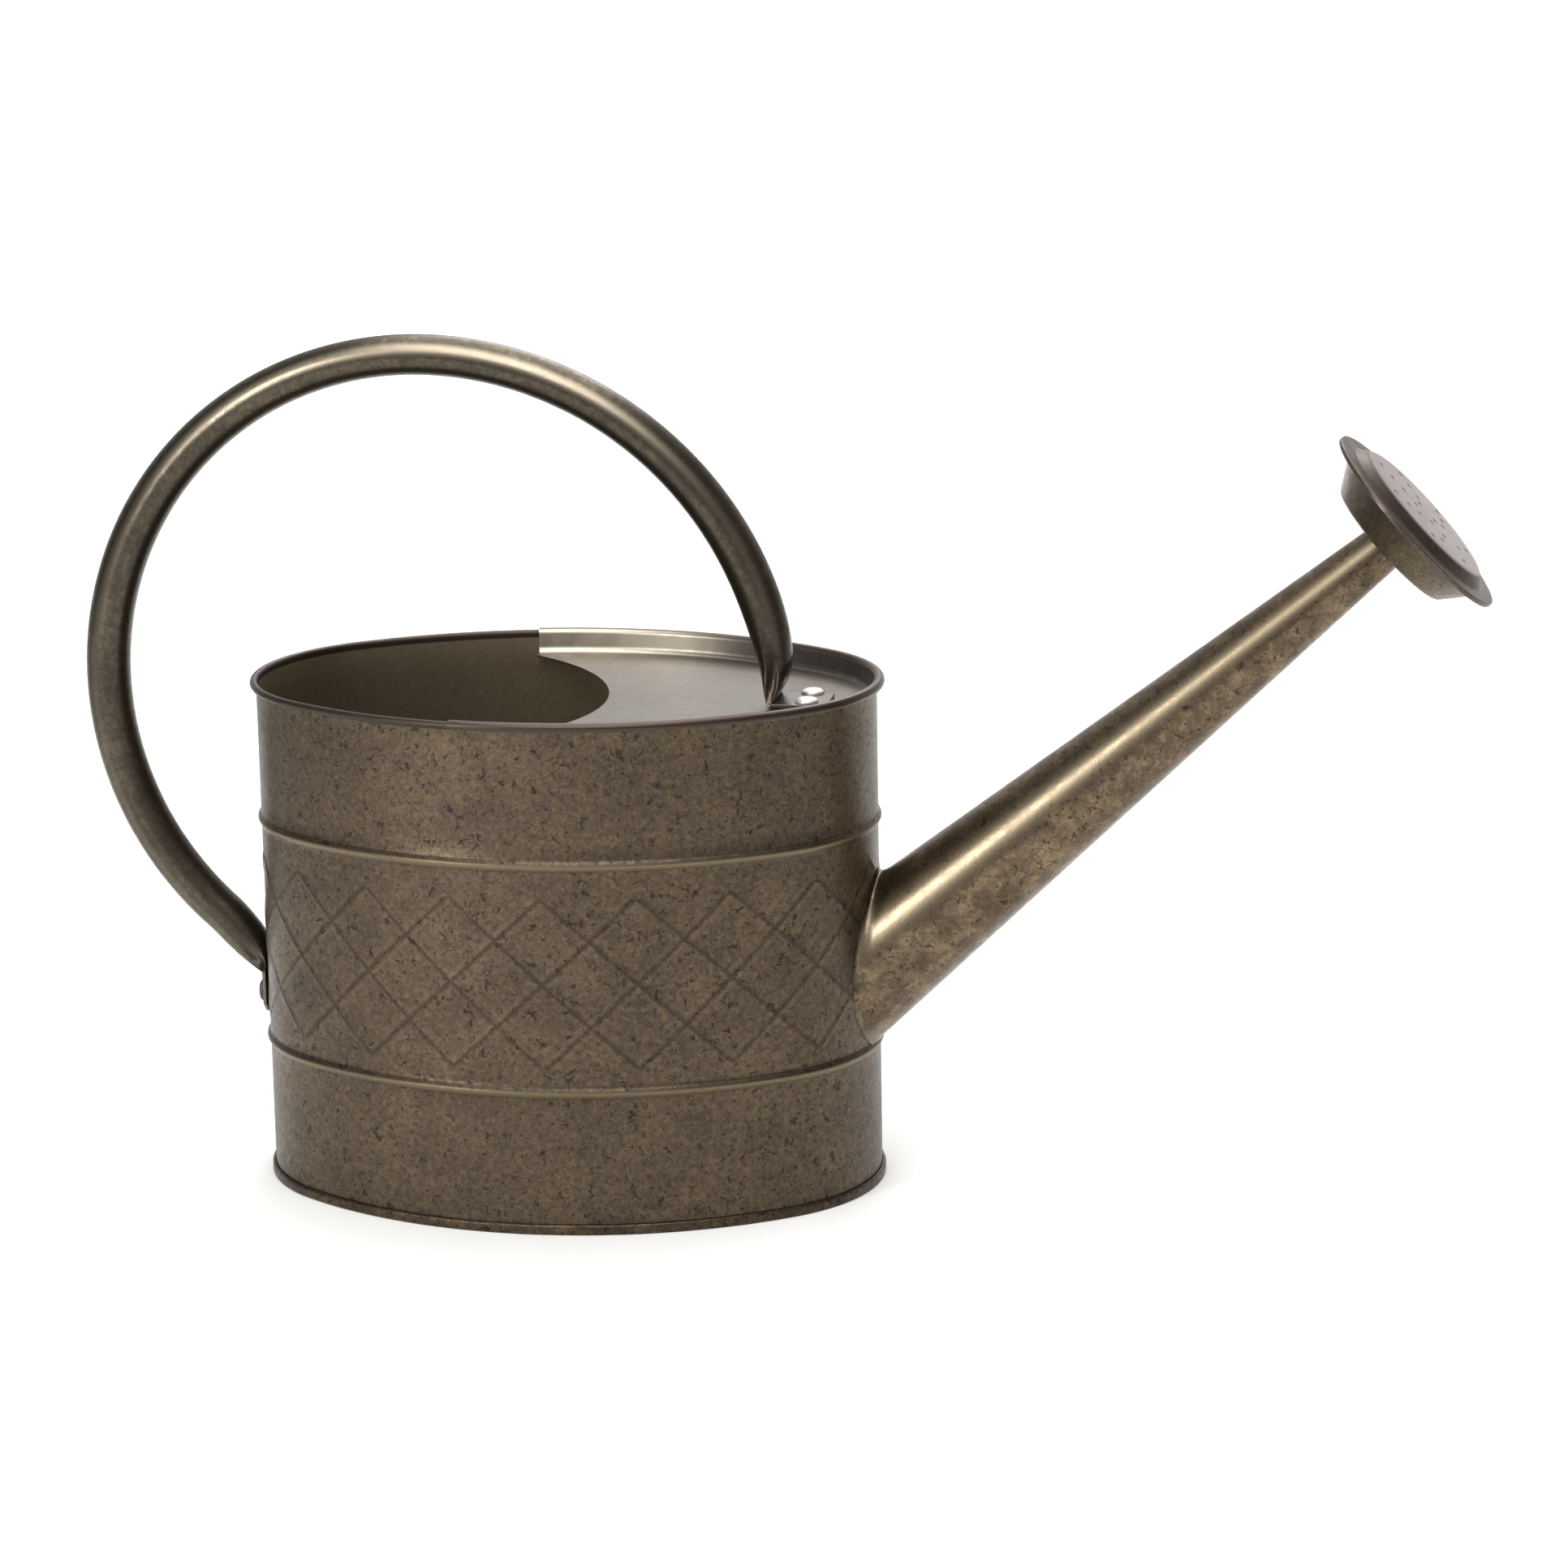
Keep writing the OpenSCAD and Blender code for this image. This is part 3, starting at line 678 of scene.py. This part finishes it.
grid, highlight_and_tab_tone = handle_grid()
handle = make_piece("bowed_tube_handle", [(grid, False, True)], relief=highlight_and_tab_tone)
finish_piece(handle, "can", "handle", HANDLE_FINISH)

# %% [markdown]
# ## The rivets
# Each end of the handle is held by two round-headed rivets. A hammered head isn't a perfect
# part of a ball: it is flatter on top and turns down steeply to a thin rim. That is a
# profile turned round an axis, with the shank and the closed tail on the same axis.

# %% Rivets
RIVET_D, RIVET_H, SHANK_D, RIVET_PITCH = 9.0, 2.0, 4.0, 15.6
HEAD_POWER, HEAD_RIM = 0.83, 0.25
TAIL_R, TAIL_H = SHANK_D * 0.8, 1.2
FRONT_INSET, REAR_INSET = 8.4, 8.5


def turned(profile, columns, origin, axis, side):
    """A profile of (radius, height along the axis) turned round an axis. side is a unit
    direction square to the axis, and the third direction is their cross product."""
    angle = np.linspace(0, 2 * math.pi, columns, endpoint=False)[None, :, None]
    radius, height = np.asarray(profile, float).T[..., None, None]
    around = np.cos(angle) * np.asarray(side) + np.sin(angle) * np.cross(axis, side)
    return np.asarray(origin) + height * np.asarray(axis) + radius * around


def rivet_profile(seat, below):
    """Head, shank and tail: the head is a quarter of an oval that is squarer than an ellipse."""
    t = np.linspace(0, math.pi / 2, 12)
    head = np.stack([RIVET_D / 2 * np.sin(t) ** HEAD_POWER,
                     seat + HEAD_RIM + (RIVET_H - HEAD_RIM) * np.cos(t) ** HEAD_POWER], axis=-1)
    return np.concatenate([head, [
        [RIVET_D / 2, seat], [SHANK_D / 2, seat], [SHANK_D / 2, -below], [TAIL_R, -below],
        [TAIL_R, -below - TAIL_H], [0, -below - TAIL_H]]])


def rivet_pair(name, x, z, axis, below):
    """Two rivets side by side across the can."""
    profile = rivet_profile(TAB_T + 2 * SEAM_GAP, below)
    grids = [(turned(profile, 40, (x, y, z), axis, (0, 1, 0)), False, True)
             for y in (-RIVET_PITCH / 2, RIVET_PITCH / 2)]
    return make_piece(name, grids)


front_rivets = rivet_pair("front_rivet_pair", FRONT_TAB_END - FRONT_INSET, PLATE_Z, (0, 0, 1),
                          SHEET + SEAM_GAP)
finish_piece(front_rivets, "can", "front_rivets", RIVET_FINISH)
rear_rivets = rivet_pair("rear_rivet_pair", -HALF_LENGTH, REAR_TAB_Z + REAR_INSET, (-1, 0, 0),
                         SHEET + 1)
finish_piece(rear_rivets, "can", "rear_rivets", DULL_FINISH)

# %% [markdown]
# ## The spout
# The spout is a long cone rolled from one sheet. Its foot is cut to the curve of the wall and
# turned out into a narrow flange, which is soldered on. The cut is where the cone's lines
# meet the wall, found for every line at once by a few Newton steps. Between flange and cone a
# three-point curve on every line makes the fillet. Last, the wall gets its round hole behind the
# spout.

# %% The coned spout
SPOUT_ANGLE = math.radians(40.3)
SPOUT_AXIS = np.array([math.cos(SPOUT_ANGLE), 0, math.sin(SPOUT_ANGLE)])
SPOUT_UP = np.array([-math.sin(SPOUT_ANGLE), 0, math.cos(SPOUT_ANGLE)])
SPOUT_START = np.array([HALF_LENGTH, 0, 91.4])
SPOUT_ROOT_R, SPOUT_TIP_R, SPOUT_LENGTH = 25.0, 8.2, 266.0
SPOUT_TAPER = (SPOUT_ROOT_R - SPOUT_TIP_R) / SPOUT_LENGTH
FLANGE_W = 2.0
FILLET, FILLET_MORE = 5, 3
# The spout's painted highlight streak: its angle round the cone and its spread.
SPOUT_HIGHLIGHT_ANGLE, SPOUT_HIGHLIGHT_SPREAD = math.radians(296), 0.26
SPOUT_HOLE_R, SPOUT_HOLE_REACH = 22.6, 25


def on_cone(s, angle, grow):
    """Points on the cone, s along its axis, grow millimetres outside it."""
    r = (SPOUT_ROOT_R - SPOUT_TAPER * s + grow)[..., None]
    around = np.cos(angle)[..., None] * SPOUT_UP + np.sin(angle)[..., None] * np.array([0, 1, 0])
    return SPOUT_START + s[..., None] * SPOUT_AXIS + r * around


def wall_meeting(angle, grow, stand_off):
    """Where each line of the cone meets the wall's end, stand_off outside it: Newton steps on
    the distance from the end's upright axis."""
    def distance(s):
        spot = on_cone(s, angle, grow)
        return np.hypot(spot[..., 0] - END_C, spot[..., 1])

    s, step = np.zeros_like(angle), 0.01
    for _ in range(12):
        slope = (distance(s + step) - distance(s)) / step
        s = s - (distance(s) - END_R - stand_off) / slope
    return s


def spout_side(down):
    """One side of the spout's sheet, down millimetres under the outside."""
    angle = np.linspace(0, 2 * math.pi, 128, endpoint=False)
    lift = SEAM_GAP + SHEET - down
    corner_s = wall_meeting(angle, -down, lift)
    edge = on_cone(wall_meeting(angle, FLANGE_W, lift), angle, FLANGE_W)
    corner = on_cone(corner_s, angle, -down)
    end_s = corner_s + FILLET + FILLET_MORE * np.cos(angle)
    end = on_cone(end_s, angle, -down)
    t = np.linspace(0, 1, 12)[:, None, None]
    fillet = edge * (1 - t) ** 2 + 2 * corner * t * (1 - t) + end * t ** 2
    v = np.linspace(0, 1, 60)[1:, None]
    cone_s = end_s * (1 - v) + SPOUT_LENGTH * v
    cone = on_cone(cone_s, np.broadcast_to(angle, cone_s.shape), -down)
    return np.concatenate([fillet, cone])


outside, inside = spout_side(0), spout_side(SHEET)
angle = np.linspace(0, 2 * math.pi, outside.shape[1], endpoint=False)
# A painted highlight streak along the cone's upper front, stored as relief for the finish.
spout_highlight = np.exp(-((angle - SPOUT_HIGHLIGHT_ANGLE) / SPOUT_HIGHLIGHT_SPREAD) ** 2)
spout_highlight = np.broadcast_to(spout_highlight[None, :, None], outside.shape[:2] + (1,))
spout = make_piece("coned_spout", sheet_grids(outside, inside, ring=True), relief=np.concatenate(
    [np.ravel(g[0]) for g in sheet_grids(spout_highlight, 0 * spout_highlight, ring=True)]))
finish_piece(spout, "can", "spout", SPOUT_FINISH)

# %% The water's way out of the wall
punch_outline = [(0, -SPOUT_HOLE_REACH), (SPOUT_HOLE_R, -SPOUT_HOLE_REACH),
                 (SPOUT_HOLE_R, SPOUT_HOLE_REACH), (0, SPOUT_HOLE_REACH)]
punch = turned(punch_outline, 96, SPOUT_START, SPOUT_AXIS, SPOUT_UP)
cut_with(wall, make_piece("spout_hole_punch", [(punch, False, True)]))
finish_piece(wall, "can", "body_shell", WALL_FINISH)

# %% [markdown]
# ## The rose
# The rose is two pressings and a collar. The dish is a shallow pan whose lip is gripped by the
# folded edge of the face. The face has a raised field with the holes, a bevel round it, and a
# flat rim. All three are turned on the rose's own axis, which looks up a little from the
# spout's. Only the collar and the edge of the dish's bore are turned on the spout's axis, because
# they have to slide along it.

# %% The rose's pieces
ROSE_TILT = math.radians(2.4)
GRIP, PLAY = 12.0, 0.06
COLLAR_FOOT = SPOUT_LENGTH - GRIP
ROSE_R, FIELD_R, FIELD_H = 42.0, 30.5, 4.0
MOUTH_R, SHOULDER_R, DISH_SIDE, DISH_CONE = 36.5, 27.6, 13.0, 2.5
LIP = 2 * SHEET
HOLD_W = 5 * SHEET
ROSE_S = COLLAR_FOOT + DISH_SIDE + DISH_CONE + LIP
rose_angle = SPOUT_ANGLE + ROSE_TILT
ROSE_AXIS = np.array([math.cos(rose_angle), 0, math.sin(rose_angle)])
ROSE_SIDE = np.array([math.sin(rose_angle), 0, -math.cos(rose_angle)])
ROSE_CENTRE = SPOUT_START + ROSE_S * SPOUT_AXIS


def rounded(corners, count=5):
    """An outline from corners of (radius, height, rounding): each corner with a rounding is
    replaced by a three-point curve that starts and ends that far from it."""
    points = np.array([c[:2] for c in corners], float)
    line = []
    for i, (x, y, r) in enumerate(corners):
        if r == 0:
            line.append(points[i][None])
            continue
        back, on = points[i - 1] - points[i], points[(i + 1) % len(points)] - points[i]
        a = points[i] + r * back / np.linalg.norm(back)
        b = points[i] + r * on / np.linalg.norm(on)
        t = np.linspace(0, 1, count)[:, None]
        line.append(a * (1 - t) ** 2 + 2 * points[i] * t * (1 - t) + b * t ** 2)
    return np.concatenate(line)


def collar_r(s):
    """Inside radius of the collar, s along the spout."""
    return SPOUT_ROOT_R - SPOUT_TAPER * s + PLAY


bore = collar_r(COLLAR_FOOT) + SHEET + SEAM_GAP
back_z, side_z = -LIP - DISH_SIDE - DISH_CONE, -LIP - DISH_SIDE
lip_r = ROSE_R - SHEET - 2 * SEAM_GAP
dish_outline = rounded([
    (bore, back_z, 0), (SHOULDER_R, side_z, 1.2), (MOUTH_R, -LIP, 0.8), (lip_r, -LIP, 0),
    (lip_r, -LIP + SHEET, 0), (MOUTH_R - SHEET, -LIP + SHEET, 0.8),
    (SHOULDER_R - SHEET, side_z + SHEET, 0.9), (bore, back_z + SHEET, 0)])
dish_grid = turned(dish_outline, 160, ROSE_CENTRE, ROSE_AXIS, ROSE_SIDE)
dish_grid[[0, -1]] = turned([(bore, COLLAR_FOOT), (bore, COLLAR_FOOT + SHEET)], 160, SPOUT_START,
                            SPOUT_AXIS, -SPOUT_UP)
dish = make_piece("rose_dish_pressing", [(dish_grid, True, True)])
finish_piece(dish, "rose", "rose_dish", DISH_FINISH)

bevel_foot = MOUTH_R - 1
under = SHEET - SEAM_GAP
fold = -LIP - SEAM_GAP
face_outline = rounded([
    (0, FIELD_H, 0), (FIELD_R, FIELD_H, 1.6), (bevel_foot, 0, 1.0), (ROSE_R, 0.1, 0.5),
    (ROSE_R, fold - SHEET, 0.5), (ROSE_R - HOLD_W, fold - SHEET, 0.3), (ROSE_R - HOLD_W, fold, 0),
    (ROSE_R - SHEET, fold, 0), (ROSE_R - SHEET, -under, 0), (bevel_foot, -under, 0.8),
    (FIELD_R - under, FIELD_H - SHEET, 1.2), (0, FIELD_H - SHEET, 0)])
face_grid = turned(face_outline, 160, ROSE_CENTRE, ROSE_AXIS, ROSE_SIDE)
face = make_piece("rose_face_pressing", [(face_grid, False, True)])
# The raised field is wiped nearly clean, so it is the palest piece of sheet and its holes show.
field_height = ROSE_CENTRE @ ROSE_AXIS + FIELD_H - 0.7
FACE_FINISH = aged_sheet("pale_patina_rose_face", "#4a403a", "#554a43", "#62564e", "#38302b",
                         cloud_mm=14, flecks=0.72, roughness=0.34,
                         above=(ROSE_AXIS, field_height, "#aca19c"))

# %% Water holes
HOLE_R = 1.2
HOLE_STARTS = [35, 42, 3, 25]


def hole_punch(ring, i):
    """One punch: a short turned pin through the field. Ring 1 has four holes, the next rings
    one more each."""
    angle = math.radians(HOLE_STARTS[ring - 1] + 360 / (ring + 3) * i)
    r = ring * (FIELD_R - 6) / len(HOLE_STARTS)
    side = np.cross(ROSE_AXIS, ROSE_SIDE)
    place = ROSE_CENTRE + r * (math.cos(angle) * ROSE_SIDE + math.sin(angle) * side)
    low, high = FIELD_H - 2, FIELD_H + 1
    pin = [(0, low), (HOLE_R, low), (HOLE_R, high), (0, high)]
    return turned(pin, 20, place, ROSE_AXIS, ROSE_SIDE), False, True


punches = make_piece("punches", [hole_punch(ring, i) for ring in range(1, len(HOLE_STARTS) + 1)
                                 for i in range(ring + 3)])
cut_with(face, punches)
finish_piece(face, "rose", "rose_face", FACE_FINISH)

# %% The collar
foot_r, mouth_r = collar_r(COLLAR_FOOT), collar_r(SPOUT_LENGTH)
collar_outline = [(foot_r, COLLAR_FOOT), (foot_r + SHEET, COLLAR_FOOT),
                  (mouth_r + SHEET, SPOUT_LENGTH), (mouth_r, SPOUT_LENGTH)]
collar_grid = turned(collar_outline, 96, SPOUT_START, SPOUT_AXIS, SPOUT_UP)
collar = make_piece("rose_collar_ring", [(collar_grid, True, True)])
finish_piece(collar, "rose", "rose_collar", DULL_FINISH)

# %% [markdown]
# ## Floor, light and camera
# The set is a product shot on white: a wide pale floor, lit far behind the can until it is pure
# white, and a long soft strip overhead, which lights the body and lays a sheen on the cover. A
# narrow window at the front left draws the streak along the spout, which the spout's finish
# strengthens with a painted highlight. The world is bright behind, which puts a pale line along
# every edge that turns away, and dim to the sides, so the body's flanks go dark between the middle
# and those pale edges.

# %% Floor
FLOOR_HALF = 20
floor_paint = bpy.data.materials.new("matt_floor_paint")
floor_paint.use_nodes = True
floor_shader = floor_paint.node_tree.nodes["Principled BSDF"]
floor_shader.inputs["Base Color"].default_value = linear("#f4f4f2")
floor_shader.inputs["Roughness"].default_value = 0.9
floor_shader.inputs["Specular IOR Level"].default_value = 0.1
floor_mesh = bpy.data.meshes.new("pale_floor")
floor_corners = [(-1, -1), (1, -1), (1, 1), (-1, 1)]
floor_mesh.from_pydata([(x * FLOOR_HALF, y * FLOOR_HALF, 0) for x, y in floor_corners], [],
                       [(0, 1, 2, 3)])
floor_mesh.materials.append(floor_paint)
floor = bpy.data.objects.new("pale_floor", floor_mesh)
bpy.context.scene.collection.objects.link(floor)
floor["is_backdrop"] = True
print("floor:", 2 * FLOOR_HALF, "m square")

# %% World and lights
world = bpy.data.worlds.new("studio")
bpy.context.scene.world = world
world.use_nodes = True
sky = world.node_tree
sky.nodes.clear()
way = add(sky, "ShaderNodeSeparateXYZ", Vector=add(sky, "ShaderNodeTexCoord").outputs["Generated"])
backwards = add(sky, "ShaderNodeMapRange", i0=way.outputs["Y"], i1=-1.0).outputs[0]
tone = add(sky, "ShaderNodeValToRGB", Fac=backwards, stops=[
    (0.0, grey(0.45)), (0.25, grey(0.30)), (0.5, grey(0.10)), (0.8, grey(0.6)),
    (1.0, grey(0.85))]).outputs[0]
light = add(sky, "ShaderNodeBackground", Color=tone, Strength=1.0)
add(sky, "ShaderNodeOutputWorld", Surface=light.outputs[0])


def soft_box(name, size, place, aim, watts):
    """A rectangular area light at a place, turned to look at a point, in metres."""
    lamp = bpy.data.lights.new(name, "AREA")
    lamp.shape, lamp.size, lamp.size_y, lamp.energy = "RECTANGLE", *size, watts
    box = bpy.data.objects.new(name, lamp)
    box.location = place
    box.rotation_euler = (Vector(aim) - Vector(place)).to_track_quat("-Z", "Y").to_euler()
    bpy.context.scene.collection.objects.link(box)
    print(f"{name}: {size[0]} x {size[1]} m, {watts} W")


soft_box("overhead_strip", (0.9, 4.0), (0.05, 0.3, 1.2), (0.05, 0.3, 0), 46)
soft_box("far_floor_light", (2.5, 1.0), (-0.5, 2.8, 2.6), (-1.3, 7.5, 0), 420)
soft_box("left_front_window", (0.28, 1.2), (-1.2, -1.7, 0.75), (0.1, 0, 0.15), 19)

# %% Camera
AZIMUTH, ELEVATION, ROLL = (math.radians(a) for a in (9.24, 13.91, -0.95))
DISTANCE = 1871.1
AIM = (84.55, 155.25)
LENS = 109.62


def aim_camera():
    """The camera looks along its back axis at a point to the right of the can's middle, and is
    rolled a little about that axis."""
    right = np.array([math.cos(AZIMUTH), math.sin(AZIMUTH), 0])
    back = np.array([math.sin(AZIMUTH) * math.cos(ELEVATION),
                     -math.cos(AZIMUTH) * math.cos(ELEVATION), math.sin(ELEVATION)])
    up = np.cross(back, right)
    side = math.cos(ROLL) * right + math.sin(ROLL) * up
    head = -math.sin(ROLL) * right + math.cos(ROLL) * up
    place = (AIM[0] * right + np.array([0, 0, AIM[1]]) + DISTANCE * back) * MM
    matrix = np.eye(4)
    matrix[:3] = np.stack([side, head, back, place], axis=1)
    data = bpy.data.cameras.new("product_camera")
    data.sensor_width, data.lens = 36, LENS
    data.clip_start, data.clip_end = 0.05, 100
    camera = bpy.data.objects.new("product_camera", data)
    camera.matrix_world = Matrix(matrix.tolist())
    bpy.context.scene.collection.objects.link(camera)
    bpy.context.scene.camera = camera


aim_camera()
print(f"camera: {LENS} mm lens, {DISTANCE} mm away")
bpy.context.scene.view_settings.view_transform = "Standard"

# %% Print the solid model's size beside the scene's
visual_box = [list(corner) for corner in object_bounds()]
for name, box in (("cad", cad_box), ("visual", visual_box)):
    print(name, [[round(v / MM, 1) for v in corner] for corner in box])
